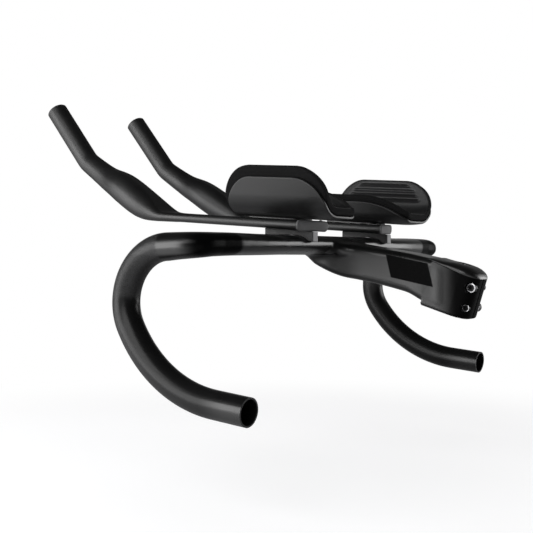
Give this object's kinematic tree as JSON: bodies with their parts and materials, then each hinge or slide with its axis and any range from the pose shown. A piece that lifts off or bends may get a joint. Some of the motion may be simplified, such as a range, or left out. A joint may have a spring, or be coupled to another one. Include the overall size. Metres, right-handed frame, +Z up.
{
  "type": "integrated aero handlebar",
  "caption": "One-piece bar and stem with dropped ends, a steerer clamp and upswept extensions that carry forearm cups with foam pads.",
  "frame": {"origin": "on the steerer axis, at the middle of the clamp's bore", "axes": "+X forward along the bicycle, +Y to the rider's left, +Z up, in the riding position; the steerer axis leans back by 17 degrees towards its top"},
  "size_m": [0.4905, 0.4628, 0.3021],
  "materials": {
    "carbon": "satin carbon composite",
    "satin_plastic": "smooth satin",
    "grit_plastic": "rough, lightly grained",
    "cap_plastic": "light grey satin",
    "foam": "closed-cell foam with a thin fabric skin",
    "strip": "hook-and-loop strip",
    "steel": "satin bolt steel"
  },
  "bodies": {
    "root": {"barstem": "carbon", "steerer_cover": "satin_plastic", "steerer_cover_bolt": "steel", "port_cover": "satin_plastic", "port_cover_screws": "steel", "pinch_bolt_upper": "steel", "pinch_bolt_lower": "steel", "pinch_nut_upper": "steel", "pinch_nut_lower": "steel", "riser_left": "grit_plastic", "riser_right": "grit_plastic", "riser_bolts_left": "steel", "riser_bolts_right": "steel", "extension_left": "carbon", "extension_right": "carbon", "end_cap_left": "cap_plastic", "end_cap_right": "cap_plastic", "end_cap_screw_left": "steel", "end_cap_screw_right": "steel", "cup_plate_left": "satin_plastic", "cup_plate_right": "satin_plastic", "arm_cup_left": "satin_plastic", "arm_cup_right": "satin_plastic", "cup_bolts_left": "steel", "cup_bolts_right": "steel", "pad_strips_left": "strip", "pad_strips_right": "strip", "arm_pad_left": "foam", "arm_pad_right": "foam"}
  },
  "joints": []
}
